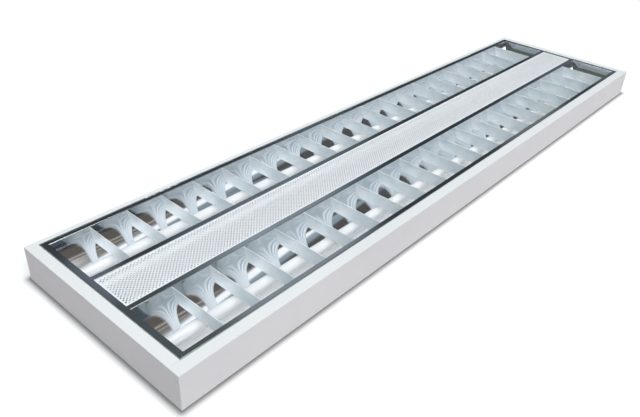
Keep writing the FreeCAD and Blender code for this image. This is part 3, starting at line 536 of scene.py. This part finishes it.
# End reflectors
for name, s in (("end_reflectors_left", -1), ("end_reflectors_right", 1)):
    parts = []
    for ya, yb in ((NI, NO), (FO, FI)):
        hs = list(np.linspace(1.0, 20.2, 16))
        par = [(EI - 0.35 - end_inset(h), H - 0.8 - h) for h in hs]
        head = rounded([(EI + 6.5, H - 0.8), (EI - 0.35, H - 0.8), par[0]], 0.5, steps=4)
        path = np.vstack([head, np.array(par[1:])])
        a, b = offset(path, SKIN / 2)
        ys = np.linspace(0, 1, 7)

        def grid(side):
            g = np.zeros((len(path), len(ys), 3))
            for i, (x, z) in enumerate(path):
                h = H - z
                y0, y1 = ya + 0.3 + inset(h), yb - 0.3 - inset(h)
                g[i, :, 0] = s * side[i, 0]
                g[i, :, 1] = y0 + (y1 - y0) * ys
                g[i, :, 2] = side[i, 1]
            return g

        parts.append(skins(grid(a), grid(b)))
    pts, faces = join(parts)
    make(name, pts, faces, [M["mirror_aluminium"]], "louvre", [name])

# ---------------------------------------------------------------------------
# Cross blades: thin ribbed sheet with a rolled top edge and tabs in the slots
# ---------------------------------------------------------------------------
RIB, RIB_PITCH = 0.145, 3.0


def blade_rows():
    rows = []
    r = 0.60
    for k in range(1, 6):
        f = math.pi / 2 * k / 5
        rows.append((0.6 + r * (1 - math.cos(f)), 0.0, max(0.02, r * math.sin(f))))
    rows += [(1.5, 0.0, 0.50), (1.85, 0.0, 0.32), (2.2, 0.0, 0.21)]
    hs = set(np.round(np.linspace(2.2, 20.4, 51), 4)[1:])
    hs |= {7.9, 13.1}
    for h in sorted(hs):
        fade = min(1.0, (h - 2.2) / 0.6, (20.4 - h) / 0.6 + 0.0001)
        rows.append((h, RIB * max(0.0, fade) * math.sin(2 * math.pi * (h - 2.2) / RIB_PITCH), 0.21))
    rows += [(20.8, 0.0, 0.21), (21.0, 0.0, 0.12)]
    return rows


ROWS = blade_rows()
for side, ya, yb in (("near", NI, NO), ("far", FO, FI)):
    parts = []
    for x0 in BLADE_X:
        cols = [None, 0.0, 0.12, 0.3, 0.5, 0.7, 0.88, 1.0, None]
        front = np.zeros((len(ROWS), len(cols), 3))
        back = np.zeros_like(front)
        for i, (h, c, w) in enumerate(ROWS):
            y0, y1 = ya + 0.3 + inset(h), yb - 0.3 - inset(h)
            for j, q in enumerate(cols):
                if j == 0:
                    y = ya - 1.2
                elif j == len(cols) - 1:
                    y = yb + 1.2
                else:
                    y = y0 + (y1 - y0) * q
                front[i, j] = (x0 + c + w, y, H - h)
                back[i, j] = (x0 + c - w, y, H - h)
        keep = np.ones((len(ROWS) - 1, len(cols) - 1), bool)
        for i in range(len(ROWS) - 1):
            hm = (ROWS[i][0] + ROWS[i + 1][0]) / 2
            if not 7.9 < hm < 13.1:
                keep[i, 0] = keep[i, -1] = False
        parts.append(skins(front, back, keep))
    pts, faces = join(parts)
    make("cross_blades_" + side, pts, faces, [M["satin_aluminium"]], "louvre",
         ["cross_blades_" + side], angle=45.0, recalc=False)


# ---------------------------------------------------------------------------
# Centre panel with its perforation: rows 2.5 mm apart, holes 5 mm apart in a
# row, alternate rows offset by half that
# ---------------------------------------------------------------------------
def panel():
    step, r = 2.5, 1.30
    z1, z0 = H - 0.65, H - 1.25
    x_edge, y_edge = EI - 0.4, 30.7
    amax, bmax = 229, 12
    pts = []

    def add(x, y, z):
        pts.append((x, MY + y, z))
        return len(pts) - 1

    corner = {}
    for zi, z in ((0, z1), (1, z0)):
        for b in range(-bmax, bmax + 1):
            for a in range(-amax, amax + 1):
                if (a + b) % 2 and not (abs(b) == 12 and abs(a) > 227) and not (abs(b) == 11 and abs(a) > 228):
                    corner[(zi, a, b)] = add(a * step, b * step, z)
    faces = []
    o8 = [(math.cos(math.radians(45 * k)), math.sin(math.radians(45 * k))) for k in range(8)]
    o6 = [(math.cos(math.radians(60 * k)), math.sin(math.radians(60 * k))) for k in range(6)]
    for b in range(-11, 12):
        for a in range(-228, 229):
            if (a + b) % 2:
                continue
            if b % 2 and abs(a) > 227:
                continue
            cx, cy = a * step, b * step
            O = [add(cx + r * c, cy + r * s, z1) for c, s in o8]
            Q = [add(cx + r * c, cy + r * s, z0) for c, s in o6]
            C = [corner[(0, a + 1, b)], corner[(0, a, b + 1)], corner[(0, a - 1, b)], corner[(0, a, b - 1)]]
            D = [corner[(1, a + 1, b)], corner[(1, a, b + 1)], corner[(1, a - 1, b)], corner[(1, a, b - 1)]]
            for k in range(4):
                c0, c1 = C[k], C[(k + 1) % 4]
                p0, p1, p2 = O[2 * k], O[2 * k + 1], O[(2 * k + 2) % 8]
                faces.append((c0, c1, p1, p0))
                faces.append((c1, p2, p1))
            faces.append((D[1], D[0], Q[0], Q[1]))
            faces.append((D[1], Q[1], Q[2]))
            faces.append((D[2], D[1], Q[2], Q[3]))
            faces.append((D[3], D[2], Q[3], Q[4]))
            faces.append((D[3], Q[4], Q[5]))
            faces.append((D[0], D[3], Q[5], Q[0]))
            for i, j in ((0, 0), (4, 3)):
                faces.append((O[i], O[i + 1], Q[j]))
                faces.append((O[i + 1], Q[j + 1], Q[j]))
                faces.append((O[i + 1], O[i + 2], Q[j + 1]))
                faces.append((O[i + 2], Q[j + 2], Q[j + 1]))
                faces.append((O[i + 2], O[i + 3], Q[j + 2]))
                faces.append((O[i + 3], O[(i + 4) % 8], Q[(j + 3) % 6], Q[j + 2]))
    # border: saw teeth filled, then a plain margin
    for zi, z in ((0, z1), (1, z0)):
        flip = zi == 1

        def face(*f):
            faces.append(tuple(reversed(f)) if flip else tuple(f))

        rim_top, rim_bot, rim_r, rim_l = {}, {}, {}, {}
        for a in range(-227, 228, 2):
            rim_top[a] = add(a * step, y_edge, z)
            rim_bot[a] = add(a * step, -y_edge, z)
        for b in range(-10, 11, 2):
            rim_r[b] = add(x_edge, b * step, z)
            rim_l[b] = add(-x_edge, b * step, z)
        k = {q: add(sx * x_edge, sy * y_edge, z) for q, (sx, sy) in
             {"tr": (1, 1), "tl": (-1, 1), "br": (1, -1), "bl": (-1, -1)}.items()}
        for a in range(-227, 227, 2):
            face(corner[(zi, a, 12)], corner[(zi, a + 1, 11)], corner[(zi, a + 2, 12)])
            face(corner[(zi, a, 12)], corner[(zi, a + 2, 12)], rim_top[a + 2], rim_top[a])
            face(corner[(zi, a + 2, -12)], corner[(zi, a + 1, -11)], corner[(zi, a, -12)])
            face(corner[(zi, a + 2, -12)], corner[(zi, a, -12)], rim_bot[a], rim_bot[a + 2])
        for b in range(-10, 10, 2):
            face(corner[(zi, 229, b + 2)], corner[(zi, 228, b + 1)], corner[(zi, 229, b)])
            face(corner[(zi, 229, b + 2)], corner[(zi, 229, b)], rim_r[b], rim_r[b + 2])
            face(corner[(zi, -229, b)], corner[(zi, -228, b + 1)], corner[(zi, -229, b + 2)])
            face(corner[(zi, -229, b)], corner[(zi, -229, b + 2)], rim_l[b + 2], rim_l[b])
        face(corner[(zi, 229, 10)], rim_r[10], k["tr"], rim_top[227], corner[(zi, 227, 12)], corner[(zi, 228, 11)])
        face(corner[(zi, -227, 12)], rim_top[-227], k["tl"], rim_l[10], corner[(zi, -229, 10)], corner[(zi, -228, 11)])
        face(corner[(zi, 227, -12)], rim_bot[227], k["br"], rim_r[-10], corner[(zi, 229, -10)], corner[(zi, 228, -11)])
        face(corner[(zi, -229, -10)], rim_l[-10], k["bl"], rim_bot[-227], corner[(zi, -227, -12)],
             corner[(zi, -228, -11)])
        loop = [k["bl"]] + [rim_bot[a] for a in range(-227, 228, 2)] + [k["br"]]
        loop += [rim_r[b] for b in range(-10, 11, 2)] + [k["tr"]]
        loop += [rim_top[a] for a in range(227, -228, -2)] + [k["tl"]]
        loop += [rim_l[b] for b in range(10, -11, -2)]
        if zi == 0:
            upper = loop
        else:
            lower = loop
    n = len(upper)
    for i in range(n):
        j = (i + 1) % n
        faces.append((upper[j], upper[i], lower[i], lower[j]))
    ob = make("centre_panel", pts, faces, [M["panel_paint"]], "louvre", ["centre_panel"], angle=50.0,
              recalc=False)
    return ob


panel()

# ---------------------------------------------------------------------------
# Lamps: tube and caps
# ---------------------------------------------------------------------------
for side, y0 in LAMPS.items():
    prof = [(-572.0, 0), (-572.0, 6.2), (-571.2, 7.0), (-569.8, 7.6), (-568.0, 7.9)]
    prof += [(x, 7.9) for x in np.linspace(-520, 520, 9)] + [(-x, r) for x, r in prof[::-1]]
    pts, faces = revolve(prof, y0, LAMP_Z, 72)
    make("lamp_glass_" + side, pts, faces, [M["lamp_glass"]], "lamp_" + side, ["lamp_glass_" + side])
    parts, index = [], []
    for s in (1, -1):
        prof = [(562.9, 7.93), (563.0, 8.15), (563.4, 8.25), (564.4, 8.25), (564.8, 8.08), (565.5, 8.02), (566.2, 8.08),
                (566.6, 8.25), (572.9, 8.25), (573.7, 8.12), (574.3, 7.72), (574.5, 7.2), (574.5, 6.2), (574.1, 6.0),
                (574.1, 0)]
        p, f = revolve([(s * x, r) for x, r in prof], y0, LAMP_Z, 72)
        inner, g = revolve([(s * 573.4, 0), (s * 573.4, 7.93), (s * 562.9, 7.93)], y0, LAMP_Z, 72)
        parts.append(join([(p, f), (inner, g)]))
        index += [1 if k >= len(f) - 72 * 2 else 0 for k in range(len(f))] + [0] * len(g)
    pts, faces = join(parts)
    make("lamp_caps_" + side, pts, faces, [M["cap_aluminium"], M["white_plastic"]], "lamp_" + side,
         ["lamp_caps_" + side], index=index, recalc=False)

# ---------------------------------------------------------------------------
# Pieces that keep their own shape: softened edges and finishes
# ---------------------------------------------------------------------------
SLOTS = {s["node"]: s["material_slot"] for s in frame["record"]["subparts"]}
EDGE = {"housing_tray": 0.22, "end_plate_left": 0.20, "end_plate_right": 0.20, "gear_cover": 0.30, "lampholders_left": 0.5,
        "lampholders_right": 0.5, "ballast_lid": 0.30, "terminal_block": 0.4, "cable_bush": 0.5, "blank_plug": 0.4,
        "ballast_terminals": 0.4, "ballast_board": 0.2}
for name, ob in NODES.items():
    if ob.hide_render:
        continue
    ob.data.materials.clear()
    ob.data.materials.append(M[SLOTS[name]])
    w = ob.modifiers.new("weld", "WELD")
    w.merge_threshold = 1e-6
    if name not in ("lamp_leads_left", "lamp_leads_right", "mains_lead"):
        b = ob.modifiers.new("edges", "BEVEL")
        b.limit_method = "ANGLE"
        b.angle_limit = math.radians(32)
        b.width = EDGE.get(name, 0.12) * MM
        b.segments = 2
        b.use_clamp_overlap = True
        b.harden_normals = True

# ---------------------------------------------------------------------------
# Floor, world and camera
# ---------------------------------------------------------------------------
k = Mat("floor")
x, y, z = k.sep()
# painted contact shadow: the floor colour seen by the camera darkens towards the fixture's footprint, from full white
# 16 mm out down to 0.20 under it
gx = k.math("MAXIMUM", k.math("SUBTRACT", k.math("ABSOLUTE", x), 0.5972), 0.0)
gy = k.math("MAXIMUM", k.math("SUBTRACT", k.math("ABSOLUTE", y), 0.1472), 0.0)
gap = k.math("SQRT", k.math("ADD", k.math("MULTIPLY", gx, gx), k.math("MULTIPLY", gy, gy)))
painted_contact_shadow = k.ramp(k.rng(gap, 0.0, 1.0, 0.0, 0.016), [(0.0, (0.20, 0.20, 0.20)), (0.09, (0.26, 0.26, 0.26)), (0.2, (0.39, 0.39, 0.39)),
                                                 (0.38, (0.68, 0.68, 0.68)), (0.62, (0.93, 0.93, 0.93)), (1.0, (1.0, 1.0, 1.0))])
plain = k.mix(k.rng(k.noise(3.0, 3.0), 0, 1, 0.3, 0.7), (0.935, 0.935, 0.93), (0.95, 0.95, 0.945))
k.to("Base Color", k.mix(1.0, plain, painted_contact_shadow, "MULTIPLY"))
k.set(Roughness=0.9, Specular_IOR_Level=0.0)
grey = k.nt.nodes.new("ShaderNodeBsdfDiffuse")
grey.inputs["Color"].default_value = (0.50, 0.455, 0.465, 1.0)
ray = k.nt.nodes.new("ShaderNodeLightPath")
both = k.nt.nodes.new("ShaderNodeMixShader")
k.nt.links.new(ray.outputs["Is Camera Ray"], both.inputs[0])
k.nt.links.new(grey.outputs[0], both.inputs[1])
k.nt.links.new(k.b.outputs[0], both.inputs[2])
k.nt.links.new(both.outputs[0], k.out.inputs[0])
bpy.ops.mesh.primitive_plane_add(size=14, location=(0, 0, -0.0002))
floor = bpy.context.object
floor.name = "floor"
floor.data.materials.append(k.m)


def unit(az, el):
    a, e = math.radians(az), math.radians(el)
    return (math.cos(a) * math.cos(e), math.sin(a) * math.cos(e), math.sin(e))


def studio():
    """Soft light from above, a dim room beyond the light and a warm one in front of it."""
    w = bpy.data.worlds.new("studio")
    SCENE.world = w
    w.use_nodes = True
    nt = w.node_tree
    nt.nodes.clear()
    out = nt.nodes.new("ShaderNodeOutputWorld")
    bg = nt.nodes.new("ShaderNodeBackground")
    co = nt.nodes.new("ShaderNodeTexCoord")
    sp = nt.nodes.new("ShaderNodeSeparateXYZ")
    nt.links.new(co.outputs["Generated"], sp.inputs[0])

    def mth(op, a, b=0.0):
        n = nt.nodes.new("ShaderNodeMath")
        n.operation = op
        for i, v in enumerate((a, b)):
            if isinstance(v, (int, float)):
                n.inputs[i].default_value = v
            else:
                nt.links.new(v, n.inputs[i])
        return n.outputs[0]

    def smooth(v, a, b):
        n = nt.nodes.new("ShaderNodeMapRange")
        n.interpolation_type = "SMOOTHSTEP"
        n.inputs["From Min"].default_value = a
        n.inputs["From Max"].default_value = b
        nt.links.new(v, n.inputs["Value"])
        return n.outputs[0]

    def mix(f, a, b, mode="MIX"):
        n = nt.nodes.new("ShaderNodeMix")
        n.data_type = "RGBA"
        n.blend_type = mode
        n.clamp_result = False
        for s, v in ((n.inputs[0], f), (n.inputs[6], a), (n.inputs[7], b)):
            if isinstance(v, (int, float)):
                s.default_value = v
            elif isinstance(v, tuple):
                s.default_value = (*v, 1.0)
            else:
                nt.links.new(v, s)
        return n.outputs[2]

    def lobe(az, el, inner, outer):
        """1 within inner degrees of a direction, 0 past outer."""
        d = nt.nodes.new("ShaderNodeVectorMath")
        d.operation = "DOT_PRODUCT"
        d.inputs[1].default_value = unit(az, el)
        nt.links.new(co.outputs["Generated"], d.inputs[0])
        return smooth(d.outputs["Value"], math.cos(math.radians(outer)), math.cos(math.radians(inner)))

    def beside(az, soft):
        """1 to the left of a compass line, 0 to the right of it."""
        a = math.radians(az)
        d = nt.nodes.new("ShaderNodeVectorMath")
        d.operation = "DOT_PRODUCT"
        d.inputs[1].default_value = (-math.sin(a), math.cos(a), 0.0)
        nt.links.new(co.outputs["Generated"], d.inputs[0])
        return smooth(d.outputs["Value"], sin(soft), sin(-soft))

    def pane(left, right, low, high, soft=1.2):
        """1 inside an upright panel of the room."""
        a = math.radians((left + right) / 2)
        d = nt.nodes.new("ShaderNodeVectorMath")
        d.operation = "DOT_PRODUCT"
        d.inputs[1].default_value = (math.cos(a), math.sin(a), 0.0)
        nt.links.new(co.outputs["Generated"], d.inputs[0])
        across = mth("MULTIPLY", beside(right, soft / 2), mth("SUBTRACT", 1.0, beside(left, soft / 2)))
        up = mth("MULTIPLY", smooth(z, sin(low - soft), sin(low + soft)), smooth(z, sin(high + soft), sin(high - soft)))
        return mth("MULTIPLY", mth("MULTIPLY", across, up), mth("GREATER_THAN", d.outputs["Value"], 0.0))

    z = sp.outputs[2]
    sin = lambda d: math.sin(math.radians(d))
    # rows of the room from the floor up
    col = mix(smooth(z, sin(-4), sin(3)), (0.60, 0.60, 0.60), (0.16, 0.165, 0.17))
    col = mix(smooth(z, sin(3), sin(12)), col, (0.10, 0.11, 0.12))
    # warm room in front of the light: dark foot, brown wall, pale rail, olive wall
    side = lobe(-52, 26, 44, 70)
    warm = mix(smooth(z, sin(11), sin(14)), (0.045, 0.048, 0.055), (0.084, 0.084, 0.083))
    wall = beside(-55, 1.5)
    warm = mix(wall, warm, mix(smooth(z, sin(11), sin(14)), (0.045, 0.048, 0.055), (0.118, 0.104, 0.091)))
    warm = mix(mth("MULTIPLY", wall, smooth(z, sin(30.5), sin(32.5))), warm, (0.38, 0.35, 0.33))
    warm = mix(mth("MULTIPLY", wall, smooth(z, sin(34.0), sin(35.5))), warm, (0.135, 0.120, 0.105))
    warm = mix(mth("MULTIPLY", wall, smooth(z, sin(37.6), sin(38.6))), warm, (0.36, 0.34, 0.32))
    warm = mix(mth("MULTIPLY", wall, smooth(z, sin(39.4), sin(40.6))), warm, (0.175, 0.168, 0.148))
    warm = mix(smooth(z, sin(-2), sin(4)), (0.60, 0.60, 0.60), warm)
    col = mix(side, col, warm)
    # dark part beyond the light, with a few soft grey patches
    dark = lobe(38, 24, 30, 46)
    dark2 = mix(smooth(z, sin(-2), sin(5)), (0.50, 0.51, 0.52), (0.040, 0.048, 0.056))
    col = mix(dark, col, dark2)
    for az, el, a, b, c in ((42, 38, 2, 9, (0.20, 0.225, 0.245)), (40, 29, 1, 6, (0.07, 0.09, 0.10)),
                            (21.0, 23.6, 0.8, 3.6, (0.13, 0.145, 0.155)), (15.6, 18, 0.5, 2.5, (0.06, 0.08, 0.085)),
                            (55, 45, 3, 9, (0.035, 0.045, 0.04)), (64, 38, 0.5, 3.5, (0.09, 0.105, 0.12)),
                            (50, 36.5, 1, 6, (0.07, 0.085, 0.10)), (20, 17.5, 0.5, 3.5, (0.07, 0.09, 0.10))):
        col = mix(lobe(az, el, a, b), col, mix(1.0, col, c, "ADD"))
    # large soft light behind the camera, and the ceiling light
    col = mix(pane(-46.5, -30, 43, 56), col, (0.25, 0.29, 0.32))
    col = mix(pane(-46.5, -40.5, 19, 44, 1.5), col, (0.27, 0.33, 0.37))
    col = mix(pane(-54.6, -51.5, 40, 60), col, (0.38, 0.41, 0.44))
    col = mix(pane(-52.3, -46.0, 22, 57), col, (1.10, 1.12, 1.15))
    col = mix(lobe(-110, 48, 20, 36), col, (3.25, 3.17, 3.25))
    col = mix(lobe(158, 20, 20, 34), col, (0.105, 0.125, 0.110))
    col = mix(smooth(z, sin(62), sin(70)), col, (3.3, 3.45, 3.45))
    path = nt.nodes.new("ShaderNodeLightPath")
    seen = mix(path.outputs["Is Camera Ray"], col, (1.0, 1.0, 1.0))
    nt.links.new(seen, bg.inputs["Color"])
    nt.links.new(bg.outputs[0], out.inputs[0])
    w.cycles.sampling_method = "MANUAL"
    w.cycles.sample_map_resolution = 1024


studio()

SCENE.view_settings.view_transform = "Standard"
SCENE.view_settings.look = "None"
SCENE.cycles.use_denoising = True
SCENE.cycles.max_bounces = 16
SCENE.cycles.glossy_bounces = 10
SCENE.cycles.diffuse_bounces = 8
SCENE.cycles.sample_clamp_indirect = 6.0

cam_data = bpy.data.cameras.new("camera")
cam = bpy.data.objects.new("camera", cam_data)
SCENE.collection.objects.link(cam)
SCENE.camera = cam
cam_data.sensor_width = 36.0
cam_data.lens = 37.07
cam_data.shift_x = -0.01716
cam_data.shift_y = -0.01527
cam_data.clip_start, cam_data.clip_end = 0.01, 60.0
right = Vector((0.655344, -0.753465, 0.053056))
down = Vector((-0.371833, -0.382957, -0.845626))
ahead = Vector((0.657468, 0.534448, -0.531132))
rot = Matrix((right, -down, -ahead)).transposed()
cam.matrix_world = Matrix.Translation(Vector((-0.8539, -0.5303, 0.5369))) @ rot.to_4x4()
